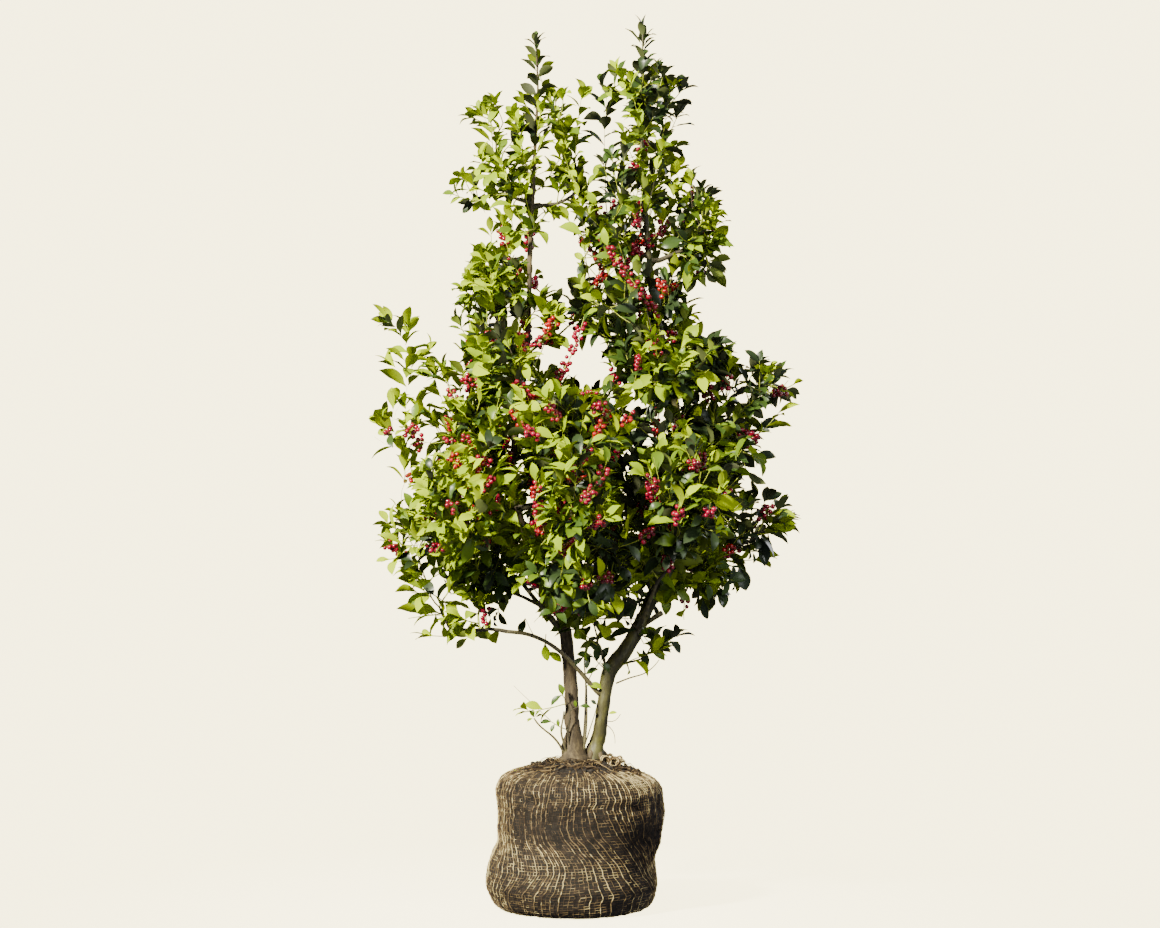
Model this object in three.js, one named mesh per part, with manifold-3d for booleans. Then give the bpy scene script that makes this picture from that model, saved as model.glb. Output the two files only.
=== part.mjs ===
// A two-stemmed holly lifted from the nursery row, its root ball wrapped in open jute burlap.
// Millimetres, +Z up. The origin is the middle of the ball's flat underside, the two stems stand
// side by side along X, and -Y is the plant's front. Every leafy part of the crown is one uneven
// closed mass; stems run up through the masses whole, and boughs end where they meet one.
import * as THREE from 'three';
import { mergeVertices } from 'three/addons/utils/BufferGeometryUtils.js';
import Module from 'manifold-3d';

const wasm = await Module();
wasm.setup();

// Clearance kept between any two solids that meet, and how much larger than itself a fold of
// cloth or a mass of leaves cuts the limbs that end at it.
const GAP = 0.3;
const FOLD_CUT = 1.03;
const MASS_CUT = 1.02;

// Root ball: half-widths to the left and right of the axis at each height, from the foot up over
// the waist that the lacing pulls in and the slack shoulder to the top, where the stems come out.
const BALL_SIDES = 28;
const BALL_LUMP = { deep: 5, turns: 3, twist: 45 };
const BALL_PROFILE = [
  { height: 0, left: 144, right: 138 },
  { height: 12, left: 165, right: 155 },
  { height: 50, left: 181, right: 166 },
  { height: 98, left: 174, right: 160 },
  { height: 136, left: 156, right: 173 },
  { height: 196, left: 155, right: 181 },
  { height: 240, left: 160, right: 177 },
  { height: 264, left: 153, right: 158 },
  { height: 280, left: 122, right: 118 },
  { height: 292, left: 66, right: 70 },
];
const BALL_TOP = 297;

// Folds of burlap gathered on top of the ball: a twisted knot and a flatter rolled edge.
const KNOT = { at: [74, -6, 294], size: [28, 27, 20], lean: 24, wave: 0.16 };
const ROLLED_EDGE = { at: [-42, -10, 295], size: [34, 30, 15], lean: -14, wave: 0.12 };

// Stems and boughs: stations along the middle line, each [x, y, z, radius].
const STEM_SIDES = 8;
const SIDEWAYS = new THREE.Vector3(0.15, 1, 0).normalize();
const LONG_LIMB_SPANS = 8;
const LEFT_STEM = [
  [-4, -8, 276, 27],
  [-3, -4, 322, 18],
  [-6, 6, 400, 14.5],
  [-10, 14, 470, 14],
  [-22, 14, 575, 13],
  [-80, 6, 700, 9.5],
  [-118, 0, 800, 8],
  [-128, 4, 875, 7.5],
  [-108, 8, 1030, 6.5],
  [-94, 4, 1130, 5.8],
  [-90, 0, 1320, 5],
  [-81, -4, 1500, 3.8],
  [-74, 0, 1640, 2.6],
  [-78, 2, 1740, 1.4],
];
const RIGHT_STEM = [
  [40, 6, 276, 19],
  [44, 2, 330, 14],
  [56, -4, 398, 13.5],
  [66, -6, 478, 15.5],
  [104, -2, 520, 14.5],
  [134, 6, 575, 13.5],
  [184, 18, 690, 11.5],
  [209, 24, 830, 10],
  [209, 20, 960, 9],
  [190, 12, 1080, 7.5],
  [160, 6, 1200, 6.5],
  [146, 2, 1320, 5.8],
  [134, 0, 1480, 4.6],
  [134, 0, 1620, 3.4],
  [136, 4, 1762, 1.4],
];

// Each bough leaves its stem inside the wood and is cut back to the bark there. It stops at the
// first mass of leaves it meets.
const BOUGH_SIDES = 6;
const BOUGHS = {
  bough_low_left: [
    [58, -8, 418, 5.5],
    [2, -16, 485, 4.6],
    [-46, -26, 530, 4.4],
    [-100, -34, 554, 4],
    [-182, -38, 557, 3.6],
  ],
  bough_left_second: [
    [-26, 10, 590, 6],
    [-80, -4, 612, 4],
    [-140, -12, 646, 3.4],
  ],
  bough_low_right: [
    [130, 4, 566, 7],
    [178, -14, 596, 5.4],
    [226, -30, 622, 4.6],
    [270, -40, 654, 4],
  ],
  bough_fork: [
    [66, -8, 486, 6],
    [52, -22, 516, 3.8],
    [44, -34, 560, 3.4],
    [36, -44, 610, 3],
  ],
  bough_front_left: [
    [-18, 10, 552, 6],
    [-50, -60, 590, 4.6],
    [-104, -150, 660, 4],
  ],
  bough_front_right: [
    [124, 0, 556, 6],
    [136, -80, 590, 4.8],
    [160, -160, 660, 4],
  ],
  bough_back_left: [
    [-16, 16, 540, 6.5],
    [-58, 84, 586, 5],
    [-120, 160, 660, 4.2],
  ],
  bough_back_right: [
    [128, 6, 560, 6.5],
    [150, 84, 600, 5],
    [176, 160, 670, 4.2],
  ],
};

// Basal shoots: thin stems springing from the crown of the roots.
const SHOOT_SIDES = 5;
const SHOOTS = {
  shoot_left: [
    [-16, -16, 296, 3.4],
    [-28, -20, 328, 2.8],
    [-46, -24, 350, 2.4],
    [-76, -28, 372, 2],
    [-84, -30, 392, 1.6],
  ],
  shoot_upright: [
    [-14, -20, 306, 3],
    [-24, -24, 340, 2.3],
    [-30, -24, 360, 2],
    [-22, -24, 384, 1.8],
    [-22, -24, 400, 1.6],
  ],
  shoot_middle: [
    [14, -6, 290, 4.2],
    [19, -10, 330, 3],
    [23, -10, 380, 2.8],
    [22, -8, 452, 2.4],
  ],
};

// Masses of leaves: middle, half-sizes and lean to the side in degrees.
const MASS_WAVE = 0.15;
const COARSE_BELOW = 75;
const MASSES = {
  left_tip: { at: [-76, 0, 1662], size: [36, 36, 88], lean: 0 },
  left_top_outer: { at: [-162, -6, 1556], size: [78, 82, 56], lean: 34 },
  left_top_inner: { at: [-28, 6, 1560], size: [84, 82, 62], lean: -38 },
  left_upper: { at: [-136, 6, 1448], size: [86, 124, 84], lean: -6 },
  left_bridge: { at: [0, 0, 1446], size: [60, 96, 76], lean: 0 },
  left_neck: { at: [-104, -4, 1340], size: [54, 100, 64], lean: 0 },
  left_middle: { at: [-146, 6, 1236], size: [92, 156, 88], lean: 0 },
  left_lower_middle: { at: [-144, 0, 1078], size: [108, 194, 104], lean: 0 },
  middle_bridge: { at: [-44, 4, 1156], size: [44, 112, 92], lean: 12 },
  right_tip: { at: [138, 2, 1712], size: [30, 34, 60], lean: 0 },
  right_top: { at: [138, 0, 1612], size: [114, 106, 78], lean: 0 },
  right_upper: { at: [128, 4, 1486], size: [82, 124, 90], lean: 0 },
  right_shoulder: { at: [236, 0, 1342], size: [70, 136, 124], lean: 4 },
  right_window: { at: [92, -2, 1352], size: [90, 146, 88], lean: -20 },
  right_middle: { at: [112, 6, 1200], size: [136, 182, 84], lean: 0 },
  right_lower_middle: { at: [190, 2, 1070], size: [142, 204, 88], lean: 0 },
  far_left_top: { at: [-326, -10, 1108], size: [54, 62, 122], lean: -25 },
  far_left: { at: [-340, -4, 936], size: [84, 94, 72], lean: 4 },
  left_lower: { at: [-208, 4, 930], size: [108, 150, 118], lean: 0 },
  low_left: { at: [-318, -14, 728], size: [74, 98, 104], lean: -6 },
  low_left_inner: { at: [-178, -6, 688], size: [108, 120, 120], lean: 0 },
  low_left_hanging: { at: [-256, -30, 578], size: [92, 60, 40], lean: 18 },
  heart: { at: [20, 10, 870], size: [130, 120, 158], lean: 0 },
  front_upper: { at: [-14, -190, 934], size: [124, 108, 118], lean: 0 },
  front_lower: { at: [0, -176, 700], size: [124, 116, 138], lean: 0 },
  front_far: { at: [4, -316, 812], size: [108, 78, 118], lean: 0 },
  front_left: { at: [-214, -212, 806], size: [114, 110, 130], lean: 0 },
  front_right: { at: [214, -214, 806], size: [122, 110, 130], lean: 0 },
  back_upper: { at: [-10, 200, 944], size: [128, 112, 124], lean: 0 },
  back_lower: { at: [6, 190, 708], size: [124, 116, 132], lean: 0 },
  back_far: { at: [-6, 322, 830], size: [110, 80, 120], lean: 0 },
  back_left: { at: [-214, 210, 812], size: [120, 114, 132], lean: 0 },
  back_right: { at: [216, 214, 812], size: [124, 114, 132], lean: 0 },
  far_right_top: { at: [368, -4, 1032], size: [74, 96, 74], lean: 12 },
  right_crown: { at: [236, 4, 914], size: [130, 164, 108], lean: 0 },
  far_right_low: { at: [362, -10, 758], size: [74, 86, 76], lean: 26 },
  right_lower: { at: [216, 0, 696], size: [128, 128, 108], lean: 0 },
  right_hanging: { at: [142, -34, 522], size: [60, 44, 46], lean: 0 },
  between_stems: { at: [48, -18, 584], size: [92, 66, 76], lean: 0 },
  basal_leaves: { at: [-96, -32, 398], size: [17, 17, 17], lean: 0 },
};

const COLOURS = {
  burlap: '#8a7448',
  leftBark: '#7d6c51',
  rightBark: '#858245',
  boughBark: '#6a6238',
  leaf: '#5d7a1c',
};

// Indexed positions only, with shared corners merged and triangles of no area dropped.
function weld(geometry) {
  geometry.deleteAttribute('normal');
  geometry.deleteAttribute('uv');
  const merged = mergeVertices(geometry, 1e-3);
  const corners = merged.index.array;
  const kept = [];
  for (let i = 0; i < corners.length; i += 3) {
    const [a, b, c] = [corners[i], corners[i + 1], corners[i + 2]];
    if (a !== b && b !== c && c !== a) {
      kept.push(a, b, c);
    }
  }
  merged.setIndex(kept);
  return merged;
}

function toSolid(geometry) {
  const welded = weld(geometry);
  return new wasm.Manifold(new wasm.Mesh({
    numProp: 3,
    vertProperties: Float32Array.from(welded.attributes.position.array),
    triVerts: Uint32Array.from(welded.index.array),
  }));
}

function toGeometry(solid) {
  const mesh = solid.getMesh();
  const geometry = new THREE.BufferGeometry();
  geometry.setAttribute('position', new THREE.BufferAttribute(mesh.vertProperties, mesh.numProp));
  geometry.setIndex(new THREE.BufferAttribute(mesh.triVerts, 1));
  geometry.computeVertexNormals();
  return geometry;
}

// A cut can leave crumbs beside the main body: only the largest piece is kept.
function largestPiece(solid) {
  return solid.decompose().reduce((best, piece) => (piece.volume() > best.volume() ? piece : best));
}

// The wrapped ball: a lathe whose rings are pushed out to their own left and right half-widths.
function ballSolid(clearance) {
  const rings = [{ height: 0, left: 0, right: 0 }, ...BALL_PROFILE];
  const outline = rings.map((ring) => new THREE.Vector2((ring.left + ring.right) / 2, ring.height));
  outline.push(new THREE.Vector2(0, BALL_TOP));
  const geometry = new THREE.LatheGeometry(outline, BALL_SIDES);
  geometry.rotateX(Math.PI / 2);
  const position = geometry.attributes.position;
  for (let i = 0; i < position.count; i += 1) {
    const point = new THREE.Vector3().fromBufferAttribute(position, i);
    const across = Math.hypot(point.x, point.y);
    const ring = BALL_PROFILE.find((each) => Math.abs(each.height - point.z) < 0.01);
    if (ring && across > 1) {
      const turn = Math.atan2(point.y, point.x);
      const lean = (ring.right - ring.left) / 2 * Math.cos(turn);
      const wave = Math.sin(BALL_LUMP.turns * turn + ring.height / BALL_LUMP.twist);
      const lump = BALL_LUMP.deep * wave * Math.sin(turn) ** 2;
      const stretch = (across + lean + lump + clearance) / across;
      point.x *= stretch;
      point.y *= stretch;
    }
    if (point.z > 0) {
      point.z += clearance;
    }
    position.setXYZ(i, point.x, point.y, point.z);
  }
  return toSolid(geometry);
}

// A tapering limb: a cylinder bent along the curve through its stations.
function limbSolid(stations, sides, clearance = 0) {
  const curve = new THREE.CatmullRomCurve3(stations.map(([x, y, z]) => new THREE.Vector3(x, y, z)));
  const spans = stations.length - 1;
  const stepsPerSpan = spans > LONG_LIMB_SPANS ? 1 : 2;
  const geometry = new THREE.CylinderGeometry(1, 1, 1, sides, spans * stepsPerSpan);
  const position = geometry.attributes.position;
  for (let i = 0; i < position.count; i += 1) {
    const along = THREE.MathUtils.clamp(position.getY(i) + 0.5, 0, 1);
    const span = Math.min(Math.floor(along * spans), spans - 1);
    const radius = THREE.MathUtils.lerp(stations[span][3], stations[span + 1][3], along * spans - span);
    const forward = curve.getTangent(along);
    const first = new THREE.Vector3().crossVectors(SIDEWAYS, forward).normalize();
    const second = new THREE.Vector3().crossVectors(forward, first);
    const point = curve.getPoint(along)
      .addScaledVector(first, position.getZ(i) * (radius + clearance))
      .addScaledVector(second, position.getX(i) * (radius + clearance))
      .addScaledVector(forward, clearance * Math.sign(along - 0.5));
    position.setXYZ(i, point.x, point.y, point.z);
  }
  return toSolid(geometry);
}

// How far an uneven, leaning ellipsoid reaches from its middle in one direction. Its bumps come
// from three waves round it, started at a different place for each size.
const FORWARD_AXIS = new THREE.Vector3(0, 1, 0);
const BUMP_WAVES = [4.1, 4.7, 5.3];
const BUMP_STARTS = [0, 2, 4];
function reach({ size, lean, wave = 0 }, direction) {
  const upright = direction.clone().applyAxisAngle(FORWARD_AXIS, THREE.MathUtils.degToRad(-lean));
  const [sx, sy, sz] = size;
  const even = 1 / Math.hypot(upright.x / sx, upright.y / sy, upright.z / sz);
  const [alongX, alongY, alongZ] = direction.toArray()
    .map((part, axis) => Math.sin(BUMP_WAVES[axis] * part + size[axis] + BUMP_STARTS[axis]));
  const bumps = alongX + alongY + alongZ * Math.cos(3 * direction.x - 1);
  return even * (1 + wave * bumps / 2);
}

// An uneven mass. Where it meets a neighbour both stop at one plane, half the gap on each side.
function massSolid(mass, neighbours, detail) {
  const middle = new THREE.Vector3(...mass.at);
  const walls = neighbours.map((other) => {
    const toOther = new THREE.Vector3(...other.at).sub(middle);
    const distance = toOther.length();
    const normal = toOther.normalize();
    const mine = reach({ ...mass, wave: 0 }, normal);
    const theirs = reach({ ...other, wave: 0 }, normal.clone().negate());
    return { normal, offset: distance * mine / (mine + theirs) - GAP / 2 };
  });
  const geometry = new THREE.IcosahedronGeometry(1, detail);
  const position = geometry.attributes.position;
  for (let i = 0; i < position.count; i += 1) {
    const direction = new THREE.Vector3().fromBufferAttribute(position, i).normalize();
    const far = walls.reduce((limit, { normal, offset }) => {
      const towards = normal.dot(direction);
      return towards > 1e-6 ? Math.min(limit, offset / towards) : limit;
    }, reach(mass, direction));
    const point = middle.clone().addScaledVector(direction, far);
    position.setXYZ(i, point.x, point.y, point.z);
  }
  return toSolid(geometry);
}

function grownAboutMiddle(solid, middle, factor) {
  const [x, y, z] = middle;
  return solid.translate([-x, -y, -z]).scale(factor).translate([x, y, z]);
}

const group = new THREE.Group();
group.name = 'holly_with_root_ball';

function addPart(name, solid, colour, roughness) {
  const material = new THREE.MeshStandardMaterial({ color: colour, roughness, metalness: 0 });
  const mesh = new THREE.Mesh(toGeometry(solid), material);
  mesh.name = name;
  group.add(mesh);
}

// Root ball, with the knot and the rolled edge of the burlap lying on it.
const ball = ballSolid(0);
const ballCut = ballSolid(GAP);
const leftStemCut = limbSolid(LEFT_STEM, STEM_SIDES, GAP);
const rightStemCut = limbSolid(RIGHT_STEM, STEM_SIDES, GAP);
const woodCuts = [ballCut, leftStemCut, rightStemCut];
addPart('root_ball', ball, COLOURS.burlap, 0.95);
for (const [name, fold] of Object.entries({ burlap_knot: KNOT, burlap_edge: ROLLED_EDGE })) {
  const whole = massSolid(fold, [], 1);
  const seated = whole.subtract(ballCut).subtract(leftStemCut).subtract(rightStemCut);
  addPart(name, largestPiece(seated), COLOURS.burlap, 0.95);
  woodCuts.push(grownAboutMiddle(whole, fold.at, FOLD_CUT));
}

// The two stems, seated on the ball; the right one is trimmed where their flares meet.
const leftStem = limbSolid(LEFT_STEM, STEM_SIDES).subtract(ballCut);
const rightStem = limbSolid(RIGHT_STEM, STEM_SIDES).subtract(ballCut).subtract(leftStemCut);
addPart('stem_left', largestPiece(leftStem), COLOURS.leftBark, 0.85);
addPart('stem_right', largestPiece(rightStem), COLOURS.rightBark, 0.75);

// The crown: every mass is cut round the stems.
const masses = Object.entries(MASSES).map(([name, mass]) => ({ name, ...mass, wave: MASS_WAVE }));
for (const mass of masses) {
  const neighbours = masses.filter((other) => other !== mass);
  const detail = Math.min(...mass.size) > COARSE_BELOW ? 2 : 1;
  mass.solid = massSolid(mass, neighbours, detail);
  const cut = mass.solid.subtract(leftStemCut).subtract(rightStemCut);
  addPart(`leaves_${mass.name}`, largestPiece(cut), COLOURS.leaf, 0.6);
}

// Boughs and basal shoots, cut back to the bark they spring from and to the leaves they enter.
const massCuts = masses.map((mass) => grownAboutMiddle(mass.solid, mass.at, MASS_CUT));
const limbs = [
  ...Object.entries(BOUGHS).map(([name, stations]) => ({ name, stations, sides: BOUGH_SIDES })),
  ...Object.entries(SHOOTS).map(([name, stations]) => ({ name, stations, sides: SHOOT_SIDES })),
];
for (const { name, stations, sides } of limbs) {
  const whole = limbSolid(stations, sides);
  const cut = [...woodCuts, ...massCuts].reduce((rest, tool) => rest.subtract(tool), whole);
  addPart(name, largestPiece(cut), COLOURS.boughBark, 0.8);
  woodCuts.push(limbSolid(stations, sides, GAP));
}

export default group;
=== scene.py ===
import math
import random

import bmesh
import bpy
import numpy as np
from mathutils import Matrix, Vector, noise
from mathutils.bvhtree import BVHTree
from mathutils.kdtree import KDTree


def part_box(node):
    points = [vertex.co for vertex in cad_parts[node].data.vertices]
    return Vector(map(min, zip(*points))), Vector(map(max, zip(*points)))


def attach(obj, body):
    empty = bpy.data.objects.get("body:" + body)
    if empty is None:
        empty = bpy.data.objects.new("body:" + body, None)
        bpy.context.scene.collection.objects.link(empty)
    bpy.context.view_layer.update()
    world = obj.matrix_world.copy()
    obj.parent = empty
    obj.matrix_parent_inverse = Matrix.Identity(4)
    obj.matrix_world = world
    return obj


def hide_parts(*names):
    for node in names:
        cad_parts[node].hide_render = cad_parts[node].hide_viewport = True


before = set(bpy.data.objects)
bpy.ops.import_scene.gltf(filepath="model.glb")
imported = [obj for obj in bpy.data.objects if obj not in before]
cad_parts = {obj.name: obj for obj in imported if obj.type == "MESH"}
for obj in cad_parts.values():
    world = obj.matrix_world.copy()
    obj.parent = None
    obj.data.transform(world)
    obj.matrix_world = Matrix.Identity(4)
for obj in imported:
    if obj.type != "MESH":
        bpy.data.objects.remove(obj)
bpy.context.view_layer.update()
MM = 0.001

# --------------------------------
# Soil of the root ball: damp garden soil and fine roots, dug as a round lump
# and squeezed into shape by its lacing. Its shape is pressed onto the solid.
# --------------------------------
BALL_MIDDLE = Vector((0, 0, 150 * MM))
BEYOND = 2
SOIL_SETBACK = 2.5 * MM
SOIL_LUMPS = 2.2 * MM
SOIL_FLOOR = 0.4 * MM
EASINGS = 4
# Each dent is its turn from the front, height, half width in degrees, half height and depth.
BALL_DENTS = [
    (-31, 233 * MM, 6, 9 * MM, 15 * MM),
    (45, 222 * MM, 5, 8 * MM, 13 * MM),
    (52, 150 * MM, 15, 26 * MM, 11 * MM),
    (-118, 190 * MM, 12, 22 * MM, 7 * MM),
    (150, 110 * MM, 16, 24 * MM, 8 * MM),
    (-165, 215 * MM, 8, 14 * MM, 7 * MM),
]


def solid_copy(node):
    """The node's own mesh as one closed bmesh."""
    shape = bmesh.new()
    shape.from_mesh(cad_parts[node].data)
    bmesh.ops.remove_doubles(shape, verts=shape.verts, dist=0.01 * MM)
    return shape


def solid_tree(node):
    """The node's faces, ready to be searched for the nearest point or along a line."""
    shape = solid_copy(node)
    tree = BVHTree.FromBMesh(shape)
    shape.free()
    return tree


def outer_point(tree, middle, direction):
    """Where a line from the middle leaves the outside of a solid."""
    hit = tree.ray_cast(middle + direction * BEYOND, -direction)[0]
    return hit if hit is not None else middle.copy()


def add_object(name, data):
    made = bpy.data.objects.new(name, data)
    bpy.context.scene.collection.objects.link(made)
    return made


def link_piece(name, mesh, materials):
    """A mesh with its materials as one piece of the scene."""
    piece = add_object(name, mesh)
    for material in materials:
        mesh.materials.append(material)
    return piece


def shape_piece(name, shape, materials):
    """A finished bmesh as one piece of the scene."""
    mesh = bpy.data.meshes.new(name)
    shape.to_mesh(mesh)
    shape.free()
    return link_piece(name, mesh, materials)


def clamp(value, low=0, high=1):
    """The value, kept between two limits."""
    return min(max(value, low), high)


def degrees_round(place):
    """A place's turn round the ball from the front, towards the right."""
    return math.degrees(math.atan2(place.x, -place.y))


def degrees_apart(turn, other=0):
    """The shorter way round to a turn from another, from -180 to 180."""
    return (turn - other + 180) % 360 - 180


def set_inputs(node, values):
    for name, value in values.items():
        node.inputs[name].default_value = value


def new_material(name, colour, roughness):
    """A node material with plain values on its shader, and what is needed to add to it."""
    material = bpy.data.materials.new(name)
    material.use_nodes = True
    nodes = material.node_tree.nodes
    shader = nodes["Principled BSDF"]
    set_inputs(shader, {"Base Color": (*colour, 1), "Roughness": roughness})
    return material, nodes, material.node_tree.links, shader


def add_bump(material_parts, scale, strength, distance, detail=4, stretch=(1, 1, 1)):
    """Fine relief on Object coordinates, as grain, pores or lumps."""
    material, nodes, links, shader = material_parts
    place = nodes.new("ShaderNodeTexCoord")
    turn = nodes.new("ShaderNodeMapping")
    set_inputs(turn, {"Scale": stretch})
    grain = nodes.new("ShaderNodeTexNoise")
    set_inputs(grain, {"Scale": scale, "Detail": detail})
    relief = nodes.new("ShaderNodeBump")
    set_inputs(relief, {"Strength": strength, "Distance": distance})
    links.new(place.outputs["Object"], turn.inputs["Vector"])
    links.new(turn.outputs["Vector"], grain.inputs["Vector"])
    links.new(grain.outputs["Fac"], relief.inputs["Height"])
    links.new(relief.outputs["Normal"], shader.inputs["Normal"])
    return turn


def plain_material(name, colour, roughness, relief, gloss=0.5, coat=0):
    """One plain colour over fine relief, given as its scale, strength, depth and detail."""
    parts = new_material(name, colour, roughness)
    material, nodes, links, shader = parts
    set_inputs(shader, {"Specular IOR Level": gloss, "Coat Weight": coat})
    add_bump(parts, *relief)
    return material


def mottled_material(name, colours, roughness, scale, bump_scale, bump, distance, stretch=(1, 1, 1)):
    """Colour that drifts between a few tones, with the paler patches more polished."""
    parts = new_material(name, colours[0], roughness)
    material, nodes, links, shader = parts
    turn = add_bump(parts, bump_scale, bump, distance, 6, stretch)
    patches = nodes.new("ShaderNodeTexNoise")
    set_inputs(patches, {"Scale": scale, "Detail": 5, "Roughness": 0.65})
    tones = nodes.new("ShaderNodeValToRGB")
    first_stop = 0.3
    last_stop = 0.72
    tones.color_ramp.elements[0].position = first_stop
    tones.color_ramp.elements[1].position = last_stop
    tones.color_ramp.elements[0].color = (*colours[0], 1)
    tones.color_ramp.elements[1].color = (*colours[-1], 1)
    for number, colour in enumerate(colours[1:-1], 1):
        share = number / (len(colours) - 1)
        stop = tones.color_ramp.elements.new(first_stop + (last_stop - first_stop) * share)
        stop.color = (*colour, 1)
    links.new(turn.outputs["Vector"], patches.inputs["Vector"])
    links.new(patches.outputs["Fac"], tones.inputs["Fac"])
    links.new(tones.outputs["Color"], shader.inputs["Base Color"])
    polish = nodes.new("ShaderNodeMapRange")
    set_inputs(polish, {"To Min": roughness + 0.1, "To Max": roughness - 0.14})
    links.new(patches.outputs["Fac"], polish.inputs["Value"])
    links.new(polish.outputs["Result"], shader.inputs["Roughness"])
    return material


def press_dents(place):
    """Hollows where the cloth is pinched or the soil has crumbled away."""
    turn = degrees_round(place)
    depth = 0
    for at_turn, at_height, wide, tall, deep in BALL_DENTS:
        apart = degrees_apart(turn, at_turn)
        depth += deep * math.exp(-((apart / wide) ** 2) - ((place.z - at_height) / tall) ** 2)
    return depth


soil_shape = bmesh.new()
bmesh.ops.create_uvsphere(soil_shape, u_segments=160, v_segments=110, radius=1)
ball_tree = solid_tree("root_ball")
for corner in soil_shape.verts:
    corner.co = outer_point(ball_tree, BALL_MIDDLE, corner.co.normalized())
for repeat in range(EASINGS):
    bmesh.ops.smooth_vert(soil_shape, verts=soil_shape.verts, factor=0.5,
                          use_axis_x=True, use_axis_y=True, use_axis_z=True)
for corner in soil_shape.verts:
    outward = (corner.co - BALL_MIDDLE).normalized()
    lumps = noise.fractal(corner.co * 34, 0.9, 2.1, 4) * SOIL_LUMPS
    corner.co += outward * (lumps - SOIL_SETBACK - press_dents(corner.co))
    corner.co.z = max(corner.co.z, SOIL_FLOOR)
soil_mesh = bpy.data.meshes.new("soil")
soil_shape.to_mesh(soil_mesh)
soil_tree = BVHTree.FromBMesh(soil_shape)
soil_shape.free()
soil_material = mottled_material(
    "damp_soil", [(0.004, 0.003, 0.002), (0.01, 0.007, 0.004), (0.032, 0.02, 0.011)],
    roughness=0.9, scale=55, bump_scale=190, bump=0.8, distance=3 * MM)
soil = link_piece("root_ball_soil", soil_mesh, [soil_material])
soil_mesh.shade_smooth()
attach(soil, "root")

# --------------------------------
# Burlap round the ball: open plain-weave jute, pulled tight by its lacing so
# that its threads crowd at the waist and sweep round to the right below it.
# --------------------------------
WARP_COUNT = 176
WEFT_GAP = 5.4 * MM
THREAD_SWING = 0.45 * MM
CLEAN_RADIUS = 0.78 * MM
DARK_RADIUS = 0.46 * MM
WEFT_RADIUS = 0.38 * MM
CLOTH_LOW = math.radians(-52)
CLOTH_HIGH = math.radians(74)
CLOTH_FLOOR = 1.2 * MM
FUZZ = 900
JUTE_TONES = [
    (0.58, 0.46, 0.22),
    (0.23, 0.16, 0.075),
    (0.068, 0.045, 0.024),
    (0.018, 0.012, 0.008),
]
# Each patch is how much it darkens the jute (lightens below zero), its height, half height, turn and half
# width: soil in the cloth, with painted shade on the right side and painted light on the left.
SOIL_AND_SHADE_PATCHES = [
    (0.2, 180 * MM, 45 * MM, -12, 34),
    (0.25, 150 * MM, 45 * MM, 62, 24),
    (-0.5, 262 * MM, 20 * MM, 56, 20),
    (-0.2, 130 * MM, 50 * MM, -60, 26),
    (-0.2, 92 * MM, 30 * MM, 8, 60),
]


def tubes(name, lines, roundness, materials):
    """One mesh of tapering tubes. Each line is its points, their radii and a material number."""
    curve = bpy.data.curves.new(name, "CURVE")
    curve.dimensions = "3D"
    curve.bevel_depth = 1
    curve.bevel_resolution = roundness
    curve.use_fill_caps = True
    for material in materials:
        curve.materials.append(material)
    for points, radii, tone in lines:
        spline = curve.splines.new("POLY")
        spline.points.add(len(points) - 1)
        spline.points.foreach_set("co", np.c_[np.array(points), np.ones(len(points))].ravel())
        spline.points.foreach_set("radius", radii)
        spline.material_index = tone
        spline.use_smooth = True
    holder = add_object(name, curve)
    bpy.context.view_layer.update()
    mesh = bpy.data.meshes.new_from_object(holder.evaluated_get(bpy.context.evaluated_depsgraph_get()))
    bpy.data.objects.remove(holder)
    bpy.data.curves.remove(curve)
    mesh.name = name
    return add_object(name, mesh)


def swell(value, middle, width):
    """1 at the middle, fading to 0 on both sides."""
    return math.exp(-(((value - middle) / width) ** 2))


def scatter(draw, size):
    """A random offset, even in all directions."""
    return Vector([draw.gauss(0, size) for axis in range(3)])


def thread_turn(turn, height):
    """How far the pull of the lacing moves a thread sideways, in degrees round from the front."""
    near = degrees_apart(turn)
    waist = 13 * swell(near, -42, 34) * swell(height, 96 * MM, 42 * MM)
    drop = clamp((215 * MM - height) / (175 * MM))
    sweep = 50 * drop ** 1.35 * swell(near, 30, 34)
    middle = -6 * swell(near, -4, 26) * swell(height, 175 * MM, 40 * MM)
    back = 16 * drop * swell(near, 150, 40) - 14 * drop * swell(near, -130, 40)
    place = Vector((math.cos(math.radians(turn)), math.sin(math.radians(turn)), height / (40 * MM)))
    fine = 0.7 * noise.noise(Vector((turn * 0.09, height / (9 * MM), 3.1)))
    return waist + sweep + middle + back + 1.7 * noise.noise(place * 2.3) + fine


def cloth_point(turn, rise, lift):
    """A point on the cloth: turn round from the front, rise from the foot to the neck as an angle."""
    flat = math.cos(rise)
    straight = Vector((math.sin(turn) * flat, -math.cos(turn) * flat, math.sin(rise)))
    first = soil_tree.ray_cast(BALL_MIDDLE + straight * BEYOND, -straight)[0]
    bent = turn + math.radians(thread_turn(math.degrees(turn), first.z))
    outward = Vector((math.sin(bent) * flat, -math.cos(bent) * flat, math.sin(rise)))
    hit, normal, face, far = soil_tree.ray_cast(BALL_MIDDLE + outward * BEYOND, -outward)
    place = hit + outward * (SOIL_SETBACK * 0.55 + lift)
    place.z = max(place.z, CLOTH_FLOOR)
    return place


# The weft's rows lie an even step apart up the front of the ball.
rises = []
last = None
rise = CLOTH_LOW
while rise < CLOTH_HIGH:
    here = outer_point(soil_tree, BALL_MIDDLE, Vector((0, -math.cos(rise), math.sin(rise))))
    if last is None or (here - last).length >= WEFT_GAP:
        rises.append(rise)
        last = here
    rise += math.radians(0.25)

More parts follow.
